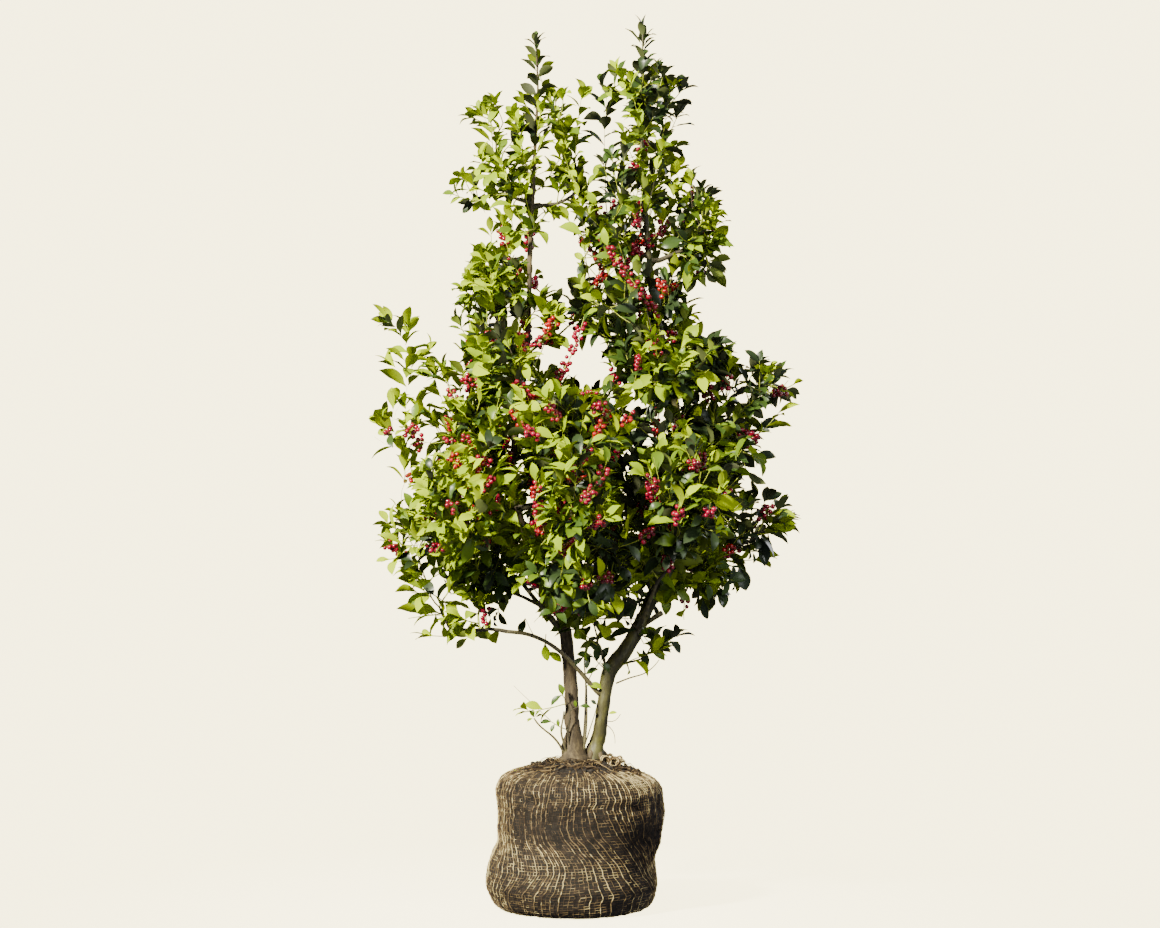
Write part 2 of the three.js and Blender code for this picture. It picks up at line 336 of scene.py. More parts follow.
thread_random = random.Random(11)
warp_lines = []
for number in range(WARP_COUNT):
    turn = 2 * math.pi * (number + thread_random.uniform(-0.16, 0.16)) / WARP_COUNT
    clean = number % 2 == 1 and thread_random.random() < 0.8
    thick = (CLEAN_RADIUS if clean else DARK_RADIUS) * thread_random.uniform(0.7, 1.2)
    stop = len(rises) - (0 if number % 4 == 1 else thread_random.randint(9, 16))
    points = []
    for row in range(stop):
        over = THREAD_SWING if (row + number) % 2 else -THREAD_SWING
        points.append(cloth_point(turn, rises[row], over + thick * 0.6))
    radii = [thick * thread_random.uniform(0.75, 1.2) for point in points]
    warp_lines.append((points, radii, int(clean)))
weft_lines = []
for row, rise in enumerate(rises):
    if row > len(rises) - 12 and row % 2:
        continue
    thick = WEFT_RADIUS * thread_random.uniform(0.8, 1.3)
    points = []
    for number in range(WARP_COUNT + 1):
        over = -THREAD_SWING if (row + number) % 2 else THREAD_SWING
        turn = 2 * math.pi * (number % WARP_COUNT) / WARP_COUNT
        points.append(cloth_point(turn, rise + 0.004 * math.sin(3 * turn + row), over))
    radii = [thick * thread_random.uniform(0.75, 1.2) for point in points]
    weft_lines.append((points, radii, 0))

jute_materials = [plain_material(f"jute_{number}", tone, 0.88, (900, 0.5, 0.4 * MM, 3), gloss=0.15)
                  for number, tone in enumerate(JUTE_TONES)]


def soil_and_painted_shade(place):
    """0 for the palest jute to 1 for the darkest: soil in the cloth, painted shade on the right side,
    painted light on the left, and darker towards the top.
    """
    turn = degrees_round(place)
    darkness = 0.5 + 0.17 * noise.fractal(place * 14, 0.8, 2.2, 3)
    # Patches of soil in the cloth, and painted shade on the right side and painted light on the left.
    for darkening, height, tall, at_turn, wide in SOIL_AND_SHADE_PATCHES:
        darkness += darkening * swell(place.z, height, tall) * swell(turn, at_turn, wide)
    darkness += 0.5 * clamp((place.z - 276 * MM) / (14 * MM))
    return darkness


def tone_threads_by_soil_and_shade(piece, kinds):
    """Deals the jute tones out by place, so that they stay plain colours."""
    for face in piece.data.polygons:
        bias, speckle = kinds[face.material_index]
        darkness = soil_and_painted_shade(face.center) + bias + speckle * noise.noise(face.center * 120)
        face.material_index = clamp(int(darkness * len(JUTE_TONES)), 0, len(JUTE_TONES) - 1)


warp = tubes("burlap_warp", warp_lines, 0, jute_materials)
weft = tubes("burlap_weft", weft_lines, 0, jute_materials)
tone_threads_by_soil_and_shade(warp, [(0.08, 0.6), (-0.2, 0.4)])
tone_threads_by_soil_and_shade(weft, [(0.08, 0.6)])

# Loose ends of fibre that stand off the threads.
fuzz_lines = []
for number in range(FUZZ):
    foot = cloth_point(thread_random.uniform(0, 2 * math.pi), thread_random.choice(rises), 0)
    outward = (foot - BALL_MIDDLE).normalized()
    lean = scatter(thread_random, 0.6)
    reach = thread_random.triangular(1.5, 7, 2.5) * MM
    points = [foot, foot + (outward + lean * 0.5) * reach * 0.5, foot + (outward * 0.8 + lean) * reach]
    for place in points:
        place.z = max(place.z, CLOTH_FLOOR)
    fuzz_lines.append((points, [0.2 * MM, 0.17 * MM, 0.12 * MM], thread_random.choice((0, 1, 2, 2))))
fuzz = tubes("burlap_fuzz", fuzz_lines, 0, jute_materials)
for cloth in (warp, weft, fuzz):
    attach(cloth, "root")
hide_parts("root_ball")

# --------------------------------
# The two stems: living wood under thin bark, grey-brown and finely cracked on
# the older left stem, olive green on the younger right one.
# --------------------------------
STEM_SLICES = 110
STEM_STEP = 9 * MM
ROOT_DEPTH = 24 * MM
FLARE_HEIGHT = 26 * MM
COARSE_HEIGHT = 70 * MM


def trace_limb(node, count):
    """Middle line and radius of a solid limb from its lower to its upper end, by slicing it."""
    shape = solid_copy(node)
    low = min(shape.verts, key=lambda corner: corner.co.z).co.copy()
    high = max(shape.verts, key=lambda corner: corner.co.z).co.copy()
    chord = high - low
    line = []
    for step in range(count):
        cut = shape.copy()
        everything = cut.verts[:] + cut.edges[:] + cut.faces[:]
        sliced = bmesh.ops.bisect_plane(
            cut, geom=everything, plane_co=low + chord * ((step + 0.6) / count), plane_no=chord)
        ring = [part.co.copy() for part in sliced["geom_cut"] if isinstance(part, bmesh.types.BMVert)]
        cut.free()
        if len(ring) < 4:
            continue
        middle = sum(ring, Vector()) / len(ring)
        radius = sum((place - middle).length for place in ring) / len(ring)
        line.append((middle, radius))
    shape.free()
    return line


def lengths_along(points):
    """How far each point lies from the first, along the line."""
    return np.r_[0, np.cumsum(np.linalg.norm(np.diff(points, axis=0), axis=1))]


def even_line(line, step, rounds=2):
    """The same line with points at an even step, its corners eased."""
    places = np.array([tuple(place) + (radius,) for place, radius in line])
    along = lengths_along(places[:, :3])
    count = max(int(along[-1] / step), 2)
    wanted = np.linspace(0, along[-1], count + 1)
    evened = np.stack([np.interp(wanted, along, places[:, axis]) for axis in range(4)], axis=1)
    for repeat in range(rounds):
        evened[1:-1] = (evened[:-2] + 2 * evened[1:-1] + evened[2:]) / 4
    return evened


def bark_relief(piece, height, crack, lump):
    """Cracks, pores and lumps raised on the bark, coarser towards the foot."""
    mesh = piece.data
    shape = bmesh.new()
    shape.from_mesh(mesh)
    bmesh.ops.remove_doubles(shape, verts=shape.verts, dist=0.02 * MM)
    shape.normal_update()
    for corner in shape.verts:
        low = math.exp(-max(corner.co.z - height, 0) / COARSE_HEIGHT)
        place = corner.co
        long_grain = Vector((place.x * 150, place.y * 150, place.z * 32))
        cracks = abs(noise.noise(long_grain)) * crack * (1 + 2 * low)
        lumps = noise.fractal(place * 38, 0.9, 2, 3) * (lump + 5 * MM * low)
        corner.co += corner.normal * (lumps - cracks)
    bmesh.ops.recalc_face_normals(shape, faces=shape.faces)
    shape.to_mesh(mesh)
    shape.free()


grey_bark = mottled_material(
    "grey_bark", [(0.015, 0.009, 0.004), (0.055, 0.037, 0.015), (0.135, 0.098, 0.042)],
    roughness=0.82, scale=95, bump_scale=420, bump=0.7, distance=1.5 * MM, stretch=(1, 1, 0.25))
green_bark = mottled_material(
    "green_bark", [(0.022, 0.016, 0.008), (0.058, 0.052, 0.01), (0.125, 0.12, 0.016)],
    roughness=0.6, scale=60, bump_scale=300, bump=0.5, distance=1 * MM, stretch=(1, 1, 0.35))
stem_lines = {}
for node, bark, crack, flare in (
        ("stem_left", grey_bark, 1.0, 0.7),
        ("stem_right", green_bark, 0.5, 0.35)):
    traced = trace_limb(node, STEM_SLICES)
    foot, foot_radius = traced[1]
    start = foot - (traced[6][0] - foot).normalized() * ROOT_DEPTH
    evened = even_line([(start, foot_radius * 1.25)] + traced[1:], STEM_STEP, 3)
    evened[:, 3] *= 1 + flare * np.exp(-(evened[:, 2] - start.z) / FLARE_HEIGHT)
    stem_lines[node] = evened
    stem = tubes(node + "_bark", [(evened[:, :3], evened[:, 3], 0)], 6, [bark])
    bark_relief(stem, foot.z, crack * MM, 1.1 * MM)
    stem.data.shade_smooth()
    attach(stem, "root")
    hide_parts(node)

# --------------------------------
# Top of the ball: the burlap's loose ends rolled and knotted round the foot of
# the stems, over surface roots, matted fibres and crumbs of soil.
# --------------------------------
NECK = Vector((20 * MM, -4 * MM, 0))
ROLLS = 26
ROLL_STEPS = 21
ROLL_STRANDS = 12
STRAND_RADIUS = 0.85 * MM
LOOP_STEPS = 24
LOOP_LAP = 3
LOOP_STRANDS = 9
ROOT_STEPS = 8
FIBRES = 260
FIBRE_STEP = 6 * MM
CRUMBS = 260
# Each loop of the knot is its middle, half width, half height, turn and lean.
KNOT_LOOPS = [
    (60, -22, 297, 10, 9, 20, 0.2), (78, -24, 296, 12, 10, -25, 0.5), (93, -14, 291, 9, 8, 15, -0.4),
    (70, -4, 300, 12, 9, 60, 0.1), (86, 6, 295, 10, 9, -60, 0.6), (66, 12, 298, 11, 8, 100, 0.3),
]


def on_top(x, y, lift):
    """The point above the ball's top surface at x, y."""
    hit = soil_tree.ray_cast(Vector((x, y, 1)), Vector((0, 0, -1)))[0]
    return hit + Vector((0, 0, lift))


def bundle(path, strands, radius, twist, draw, tones):
    """Loose strands twisted round a path, as a roll of thin cloth or a hank of fibres."""
    lines = []
    count = len(path)
    for strand in range(strands):
        start = draw.uniform(0, 2 * math.pi)
        out = radius * math.sqrt(draw.uniform(0.15, 1))
        points = []
        for number, place in enumerate(path):
            before = path[max(number - 1, 0)]
            after = path[min(number + 1, count - 1)]
            along = (after - before).normalized()
            side = along.cross(Vector((0, 0, 1)))
            side = side.normalized() if side.length > 0.05 else Vector((1, 0, 0))
            rise = side.cross(along)
            turn = start + twist * number / count
            breathe = 1 + 0.35 * noise.noise(place * 60 + Vector((strand, 0, 0)))
            points.append(place + (side * math.cos(turn) + rise * math.sin(turn)) * out * breathe)
        ends = [min(1, 0.45 + 3 * min(n, count - 1 - n) / count) for n in range(count)]
        thick = STRAND_RADIUS * draw.uniform(0.7, 1.3)
        lines.append((points, [thick * end for end in ends], draw.choice(tones)))
    return lines


top_draw = random.Random(31)
roll_lines = []
for number in range(ROLLS):
    first = math.radians(-200 + 360 * number / ROLLS + top_draw.uniform(-14, 14))
    swing = math.radians(top_draw.uniform(18, 52))
    near = top_draw.uniform(34, 98) * MM
    drift = top_draw.uniform(-26, 14) * MM
    fat = top_draw.uniform(3.2, 6.2) * MM
    path = []
    for step in range(ROLL_STEPS + 1):
        share = step / ROLL_STEPS
        turn = first + swing * share
        far = near + drift * share + 6 * MM * math.sin(share * 7 + number)
        lift = fat * 0.5 + 3.5 * MM * noise.noise(Vector((share * 4, number * 2.3, 0.4)))
        path.append(on_top(NECK.x + far * math.cos(turn) * 1.15, NECK.y + far * math.sin(turn), lift))
    roll_lines += bundle(path, ROLL_STRANDS, fat, top_draw.uniform(3, 9), top_draw, (1, 2, 2, 3, 3))
edge_rolls = tubes("burlap_edge_rolls", roll_lines, 0, jute_materials)
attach(edge_rolls, "root")
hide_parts("burlap_edge")

knot_lines = []
for x, y, z, wide, tall, turned, leaning in KNOT_LOOPS:
    middle = Vector((x, y, z)) * MM
    across = Vector((math.cos(math.radians(turned)), math.sin(math.radians(turned)), 0))
    upward = Vector((-across.y * leaning, across.x * leaning, 1)).normalized()
    path = []
    for step in range(LOOP_STEPS + LOOP_LAP):
        turn = 2 * math.pi * step / LOOP_STEPS
        path.append(middle + across * wide * MM * math.cos(turn) + upward * tall * MM * math.sin(turn))
    knot_lines += bundle(path, LOOP_STRANDS, 3.1 * MM, 7, top_draw, (0, 1, 2, 2))
knot = tubes("burlap_knot_loops", knot_lines, 0, jute_materials)
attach(knot, "root")
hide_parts("burlap_knot")

root_lines = []
for node, roots in (("stem_left", 8), ("stem_right", 6)):
    foot = Vector(stem_lines[node][3][:3])
    for number in range(roots):
        turn = 2 * math.pi * number / roots + top_draw.uniform(-0.3, 0.3)
        outward = Vector((math.cos(turn), math.sin(turn), 0))
        reach = top_draw.uniform(28, 50) * MM
        thick = top_draw.uniform(5, 10.5) * MM
        path = []
        for step in range(ROOT_STEPS + 1):
            share = step / ROOT_STEPS
            far = 6 * MM + reach * share
            place = on_top(foot.x + outward.x * far, foot.y + outward.y * far, 0)
            place.z += (1 - share) ** 2.2 * top_draw.uniform(28, 38) * MM - 3 * MM * share
            path.append(place)
        radii = [thick * (1.15 - 0.85 * step / ROOT_STEPS) for step in range(ROOT_STEPS + 1)]
        root_lines.append((path, radii, 0))
roots = tubes("surface_roots", root_lines, 3, [grey_bark])
bark_relief(roots, 290 * MM, 0.9 * MM, 0.6 * MM)
roots.data.shade_smooth()
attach(roots, "root")

fibre_lines = []
for number in range(FIBRES):
    foot = Vector(stem_lines[top_draw.choice(("stem_left", "stem_left", "stem_right"))][3][:3])
    turn = top_draw.uniform(0, 2 * math.pi)
    far = top_draw.triangular(16, 70, 20) * MM
    place = Vector((foot.x + far * math.cos(turn), foot.y + far * math.sin(turn), 0))
    heading = turn + top_draw.uniform(-2, 2)
    hump = top_draw.uniform(1, 11) * MM
    steps = top_draw.randint(5, 11)
    path = []
    for step in range(steps):
        arch = math.sin(math.pi * step / (steps - 1))
        path.append(on_top(place.x, place.y, 1.5 * MM + hump * arch))
        heading += top_draw.gauss(0, 0.5)
        place += Vector((math.cos(heading), math.sin(heading), 0)) * FIBRE_STEP
    thick = top_draw.uniform(0.35, 0.85) * MM
    fibre_lines.append((path, [thick] * steps, top_draw.choice((1, 2, 2, 3, 3))))
fibres = tubes("root_fibres", fibre_lines, 0, jute_materials)
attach(fibres, "root")

crumb_shape = bmesh.new()
for number in range(CRUMBS):
    turn = top_draw.uniform(0, 2 * math.pi)
    far = top_draw.triangular(18, 120, 30) * MM
    place = on_top(NECK.x + far * math.cos(turn), NECK.y + far * math.sin(turn), 1.5 * MM)
    size = top_draw.triangular(1.4, 8, 2.2) * MM
    made = bmesh.ops.create_icosphere(crumb_shape, subdivisions=2, radius=size)["verts"]
    for corner in made:
        lumpy = 1 + 0.5 * noise.noise(corner.co / size * 1.3 + Vector((number, 0, 0)))
        corner.co = Vector((corner.co.x, corner.co.y, corner.co.z * 0.75)) * lumpy + place
crumbs = shape_piece("soil_crumbs", crumb_shape, [soil_material])
crumbs.data.shade_smooth()
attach(crumbs, "root")

# --------------------------------
# Boughs and basal shoots: the limbs that show below the leaves, springing from
# the stems, with thinner, darker bark.
# --------------------------------
BOUGH_SLICES = 14
BOUGH_STEP = 10 * MM
bough_bark = mottled_material(
    "bough_bark", [(0.028, 0.022, 0.009), (0.08, 0.066, 0.024), (0.15, 0.128, 0.046)],
    roughness=0.7, scale=70, bump_scale=420, bump=0.45, distance=0.8 * MM)
limb_nodes = sorted(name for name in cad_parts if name.startswith(("bough_", "shoot_")))
limb_lines = {node: even_line(trace_limb(node, BOUGH_SLICES), BOUGH_STEP) for node in limb_nodes}


def nearest_on(line, place):
    """The number of the line's point that lies nearest to a place."""
    return int(np.argmin(np.linalg.norm(line[:, :3] - np.array(place), axis=1)))


bough_lines = []
for node, line in limb_lines.items():
    source = min(stem_lines.values(), key=lambda stem: np.linalg.norm(
        stem[nearest_on(stem, line[0, :3]), :3] - line[0, :3]))
    inside = source[nearest_on(source, line[0, :3] - np.array([0, 0, 6 * MM]))]
    whole = np.vstack([[*inside[:3], line[0, 3] * 1.5], line])
    bough_lines.append((whole[:, :3], whole[:, 3], 0))
boughs = tubes("boughs_bark", bough_lines, 2, [bough_bark])
bark_relief(boughs, 0, 0.3 * MM, 0.35 * MM)
boughs.data.shade_smooth()
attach(boughs, "root")
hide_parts(*limb_nodes)

# --------------------------------
# Twigs: limbs first rise to each mass of leaves, branchlets fork from them into
# the open room, and leafy shoots then stand on these, turned up to the light.
# --------------------------------
TWIG_STEP = 15 * MM
BUD_ROOM = 33 * MM
BUD_SIGHT = 130 * MM
BUD_INSET = 26 * MM
SPRAY_BUDS = 8
SEASONS = 60
TIP_RADIUS = 1.15 * MM
PIPE_POWER = 2.5
MASS_BLEND = 24 * MM
MASS_SIGHT = 70 * MM
mass_nodes = sorted(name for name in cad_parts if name.startswith("leaves_"))
growth = random.Random(2024)
mass_trees = {name: solid_tree(name) for name in mass_nodes}
mass_boxes = {name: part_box(name) for name in mass_nodes}
mass_middles = {name: (low + high) / 2 for name, (low, high) in mass_boxes.items()}
mass_reach = {name: (high - low) / 2 for name, (low, high) in mass_boxes.items()}
# Small sprays between the masses as x, y, z and reach, in millimetres.
SPRAYS = [(25, -10, 1330, 24), (26, 0, 1275, 22), (-10, 0, 1392, 26), (32, 0, 1388, 26), (82, -10, 1110, 24),
          (-205, 0, 1415, 28), (268, 0, 1262, 20), (-50, -8, 1440, 24), (-52, 0, 1385, 20),
          (58, -5, 1622, 22), (172, -6, 1425, 24), (-190, 0, 1385, 24), (-18, -20, 565, 24),
          (28, -20, 555, 20), (118, -10, 632, 24), (-306, -8, 648, 24)]
# Gaps of open sky as x, z, half width and half height, in millimetres.
SKY_GAPS = [(-34, 1300, 44, 92), (-108, 1682, 34, 46), (-22, 1668, 44, 34), (36, 1548, 22, 54),
            (-218, 1530, 28, 46), (-10, 1100, 40, 44), (26, 1084, 42, 54), (-262, 1150, 34, 44),
            (-232, 1278, 22, 28), (-174, 1336, 24, 22), (254, 1172, 24, 20), (-346, 812, 28, 20),
            (368, 880, 22, 24)]


def past_crown(place):
    """How far a place lies outside the crown, its masses melted together, and below zero inside."""
    total = 0.0
    for name, (low, high) in mass_boxes.items():
        if (low.x - MASS_SIGHT < place.x < high.x + MASS_SIGHT
                and low.y - MASS_SIGHT < place.y < high.y + MASS_SIGHT
                and low.z - MASS_SIGHT < place.z < high.z + MASS_SIGHT):
            hit, normal, face, far = mass_trees[name].find_nearest(place)
            away = far if (place - hit).dot(normal) > 0 else -far
            total += math.exp(-away / MASS_BLEND)
    for x, y, z, reach in SPRAYS:
        away = (place - Vector((x, y, z)) * MM).length - reach * MM
        total += math.exp(-away / MASS_BLEND)
    outside = -MASS_BLEND * math.log(total)
    for x, z, wide, tall in SKY_GAPS:
        within = 1 - math.hypot((place.x / MM - x) / wide, (place.z / MM - z) / tall)
        outside = max(outside, within * min(wide, tall) * MM)
    return outside


# All wood is one list of joints, each with its place, the joint it grows from, its radius
# and whether it can bear a bud.
wood_at = []
wood_from = []
wood_radius = []
wood_bears = []


def add_wood(place, parent, radius=None, bears=True):
    """One more joint of wood, and its number."""
    wood_at.append(Vector(place))
    wood_from.append(parent)
    wood_radius.append(radius)
    wood_bears.append(bears)
    return len(wood_at) - 1


for line in stem_lines.values():
    parent = -1
    for number, (x, y, z, radius) in enumerate(line):
        bears = z > 560 * MM and (number % 6 == 0 or radius < 4 * MM)
        parent = add_wood((x, y, z), parent, radius, bears)
stem_wood = len(wood_at)
for node, line in limb_lines.items():
    first = Vector(line[0, :3])
    parent = min(range(stem_wood), key=lambda number: (wood_at[number] - first).length)
    for number, (x, y, z, radius) in enumerate(line):
        share = number / len(line)
        parent = add_wood((x, y, z), parent, radius, share > (0.9 if node.startswith("bough") else 0.7))
cad_wood = len(wood_at)


def limb_to(target, tip):
    """A bough that leaves the wood below the target, rises to it and runs on to its tip."""
    def cost(number):
        away = target - wood_at[number]
        across = math.hypot(away.x, away.y)
        return away.length + 1.6 * max(0.3 * across - away.z, 0)

    usable = [number for number in range(len(wood_at)) if wood_at[number].z > 400 * MM]
    parent = min(usable, key=cost)
    start = wood_at[parent]
    away = target - start
    if away.length < 2 * TWIG_STEP:
        return
    bend = start + Vector((away.x * 0.55, away.y * 0.55, away.z * 0.22))
    count = max(int(away.length / TWIG_STEP), 2)
    for step in range(1, count + 1):
        share = step / count
        place = start * (1 - share) ** 2 + bend * 2 * share * (1 - share) + target * share ** 2
        parent = add_wood(place + scatter(growth, 2.5 * MM), parent)
    run = tip - target
    count = int(run.length / TWIG_STEP)
    for step in range(1, count + 1):
        parent = add_wood(target + run * (step / count) + scatter(growth, 2.5 * MM), parent)


for name in sorted(mass_nodes, key=lambda mass: Vector((
        mass_middles[mass].x * 1.2, mass_middles[mass].y * 1.2, mass_middles[mass].z - 0.6)).length):
    middle = mass_middles[name]
    outward = Vector((middle.x, middle.y, 0))
    rising = (outward.normalized() * 0.5 + Vector((0, 0, 1))).normalized()
    tip = middle.lerp(outer_point(mass_trees[name], middle, rising), 0.66)
    limb_to(middle - rising * 0.3 * min(mass_reach[name]), tip)

# Open room for buds is spread through each mass, thicker towards its outside.
room = []
for name in mass_nodes:
    size = mass_reach[name]
    volume = size.x * size.y * size.z * 8
    for repeat in range(int(volume / BUD_ROOM ** 3)):
        direction = scatter(growth, 1).normalized()
        deep = outer_point(mass_trees[name], mass_middles[name], direction) - mass_middles[name]
        inset = max(deep.length - BUD_INSET, deep.length * 0.4) / deep.length
        room.append(mass_middles[name] + deep * (growth.random() ** 0.45) * inset)

for x, y, z, reach in SPRAYS:
    for repeat in range(SPRAY_BUDS):
        room.append(Vector((x, y, z)) * MM + scatter(growth, 0.5 * reach * MM))

room_at = np.array([tuple(place) for place in room])
open_room = np.ones(len(room), bool)
nearest = np.full(len(room), -1)
nearest_far = np.full(len(room), 9.0)


def look_at(first_new):
    """Each open spot remembers the nearest wood that can still shoot."""
    for number in range(first_new, len(wood_at)):
        if wood_bears[number]:
            far = np.linalg.norm(room_at - np.array(wood_at[number]), axis=1)
            closer = far < nearest_far
            nearest[closer] = number
            nearest_far[closer] = far[closer]
    open_room[nearest_far < BUD_ROOM] = False


look_at(0)
for season in range(SEASONS):
    pull = {}
    for spot in np.nonzero(open_room & (nearest_far < BUD_SIGHT))[0]:
        pull.setdefault(int(nearest[spot]), []).append(spot)
    if not pull:
        break
    first_new = len(wood_at)
    for number in sorted(pull):
        start = wood_at[number]
        aim = Vector()
        for spot in pull[number]:
            aim += (Vector(room_at[spot]) - start).normalized()
        along = Vector()
        if number >= cad_wood and wood_from[number] >= 0:
            along = (start - wood_at[wood_from[number]]).normalized()
        aim = aim.normalized() + along * 0.5 + Vector((0, 0, 0.4)) + scatter(growth, 0.08)
        add_wood(start + aim.normalized() * TWIG_STEP, number)
    look_at(first_new)
branch_wood = len(wood_at)

# Leafy shoots: each keeps its own room, turns upwards and ends under the outline.
SHOOT_ROOM = 30 * MM
SHOOT_STEP = 13 * MM
SHOOT_LENGTHS = (170 * MM, 120 * MM, 75 * MM, 55 * MM)
LOWEST_SHOOT = 350 * MM
CELL = 20 * MM
GREEN_LENGTH = 210 * MM
THIN_TWIG = 2.6 * MM
taken = {}


def cell(place):
    return tuple(int(math.floor(axis / CELL)) for axis in place)


def is_clear(place, own):
    """Whether no other shoot stands within its room of a place."""
    x, y, z = cell(place)
    for dx in (-1, 0, 1):
        for dy in (-1, 0, 1):
            for dz in (-1, 0, 1):
                for other, owner in taken.get((x + dx, y + dy, z + dz), ()):
                    if owner != own and (other - place).length < SHOOT_ROOM:
                        return False
    return True


def leafy_shoot(parent, way, longest, stop_at, light):
    """Grows one shoot, and keeps it only if it found room to grow."""
    path = []
    place = wood_at[parent].copy()
    while len(path) * SHOOT_STEP < longest:
        way = (way + Vector((0, 0, light)) + scatter(growth, 0.05)).normalized()
        place = place + way * SHOOT_STEP
        if past_crown(place) > stop_at or place.z < LOWEST_SHOOT:
            break
        if len(path) > 0 and not is_clear(place, parent):
            break
        path.append(place)
    if len(path) < 3:
        return False
    number = parent
    for place in path:
        number = add_wood(place, number)
        taken.setdefault(cell(place), []).append((place, parent))
    return True


sites = list(range(cad_wood, branch_wood))
sites += [n for n in range(stem_wood) if 760 * MM < wood_at[n].z < 1600 * MM] * 2
for longest in SHOOT_LENGTHS:
    growth.shuffle(sites)
    first_new = len(wood_at)
    for number in sites:
        place = wood_at[number]
        along = (place - wood_at[wood_from[number]]).normalized()
        away = Vector((place.x, place.y, 0)) * 1.6
        away.z = 0.25
        high = clamp((place.z - 560 * MM) / (200 * MM))
        way = along * 0.55 + away.normalized() * 0.5 + scatter(growth, 0.55)
        way += Vector((0, 0, 0.6 * high - 0.15))
        edge = growth.uniform(-20, 4 if place.z > 1000 * MM else 8) * MM
        length = longest * growth.uniform(0.7, 1.1)
        leafy_shoot(number, way.normalized(), length, edge, 0.13 * high - 0.02)
    sites += range(first_new, len(wood_at), 2)

# Grown wood is eased a little, then thickened from its tips down.
children = [[] for number in wood_at]
for number, parent in enumerate(wood_from):
    if parent >= 0:
        children[parent].append(number)
for number in range(cad_wood, len(wood_at)):
    if children[number]:
        ahead = wood_at[children[number][0]]
        behind = wood_at[wood_from[number]]
        wood_at[number] = wood_at[number] * 0.6 + (ahead + behind) * 0.2
load = [0.0] * len(wood_at)
for number in range(len(wood_at) - 1, cad_wood - 1, -1):
    load[number] = load[number] or TIP_RADIUS ** PIPE_POWER
    if wood_from[number] >= cad_wood:
        load[wood_from[number]] += load[number]
for number in range(cad_wood, len(wood_at)):
    radius = load[number] ** (1 / PIPE_POWER)
    wood_radius[number] = min(radius, wood_radius[wood_from[number]] * 0.92)
tip_far = [0.0] * len(wood_at)
for number in range(len(wood_at) - 1, 0, -1):
    parent = wood_from[number]
    if parent >= 0:
        step = (wood_at[number] - wood_at[parent]).length
        tip_far[parent] = max(tip_far[parent], tip_far[number] + step)

# Each shoot is a run of wood from its fork to its tip, taking the longest way on.
shoots = []
waiting = [(wood_from[n], n) for n in range(cad_wood, len(wood_at)) if wood_from[n] < cad_wood]
while waiting:
    parent, number = waiting.pop()
    run = [parent, number]
    while children[run[-1]]:
        onward = sorted(children[run[-1]], key=lambda child: -tip_far[child] - wood_radius[child])
        waiting.extend((run[-1], child) for child in onward[1:])
        run.append(onward[0])
    shoots.append(run)

green_twig = plain_material("green_twig", (0.3, 0.34, 0.03), 0.5, (500, 0.3, 0.4 * MM))
# Older twig wood is brown, made darker still to paint the shade the twigs stand in under the crown.
brown_twig_painted_shade = plain_material("brown_twig_painted_shade", (0.04, 0.032, 0.013), 0.75, (500, 0.4, 0.5 * MM))
thin_lines = []
thick_lines = []
for run in shoots:
    radii = [min(wood_radius[run[0]], wood_radius[run[1]] * 1.25)] + [wood_radius[n] for n in run[1:]]
    tone = 0 if tip_far[run[1]] < GREEN_LENGTH else 1
    lines = thin_lines if radii[1] < THIN_TWIG else thick_lines
    lines.append(([wood_at[n] for n in run], radii, tone))
for name, lines, roundness in (("twigs", thin_lines, 0), ("branches", thick_lines, 2)):
    piece = tubes(name, lines, roundness, [green_twig, brown_twig_painted_shade])
    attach(piece, "root")

# --------------------------------
# Sprigs: thin shoots and dead twigs at the foot of the stems, the single leaves
# that hang below the crown, and two long bare twigs that carry fruit.
# --------------------------------
# Each sprig is its points in millimetres, the radius of its foot, and whether it is alive.
SPRIGS = [
    (((-8, -16, 318), (-15, -22, 352), (-9, -24, 390), (-12, -24, 412), (-26, -24, 430)), 1.8, True),
    (((-12, -22, 396), (-2, -28, 404), (8, -30, 408)), 1.2, True),
    (((-13, -22, 360), (-30, -22, 365), (-46, -22, 376)), 1.3, True),
    (((-48, -22, 378), (-76, -20, 404), (-104, -18, 430), (-122, -18, 448)), 0.8, False),
    (((20, -10, 330), (30, -14, 362), (40, -16, 392), (44, -16, 410)), 1.6, True),
    (((16, -6, 318), (20, -10, 380), (22, -12, 446), (18, -14, 500), (24, -14, 540)), 2.6, True),
    (((60, -8, 378), (72, -12, 373), (84, -12, 378), (91, -12, 391)), 1.1, False),
    (((58, -8, 372), (72, -12, 364), (80, -12, 350), (80, -12, 332)), 1.1, False),
    (((-84, -8, 550), (-92, -12, 566), (-99, -12, 582)), 1.0, False),
    (((-24, -8, 588), (-48, -12, 593), (-70, -12, 588), (-82, -12, 574)), 1.1, False),
    (((-58, -6, 550), (-60, -12, 532), (-56, -12, 516)), 1.1, True),
    (((82, -8, 452), (110, -16, 464), (138, -18, 471), (158, -20, 486), (168, -20, 500)), 1.8, False),
    (((112, -4, 572), (128, -14, 548), (138, -16, 530)), 1.6, True),
    (((70, -10, 470), (48, -18, 492), (30, -20, 512)), 1.5, True),
    (((24, -12, 452), (36, -18, 478), (52, -20, 498)), 1.4, True),
    (((-84, -46, 962), (-58, -66, 1018), (-30, -72, 1062), (-6, -70, 1106), (8, -66, 1146), (18, -58, 1180)),
     2.0, True),
    (((166, -70, 1180), (122, -92, 1238), (92, -94, 1280), (64, -84, 1320)), 1.8, True),
]
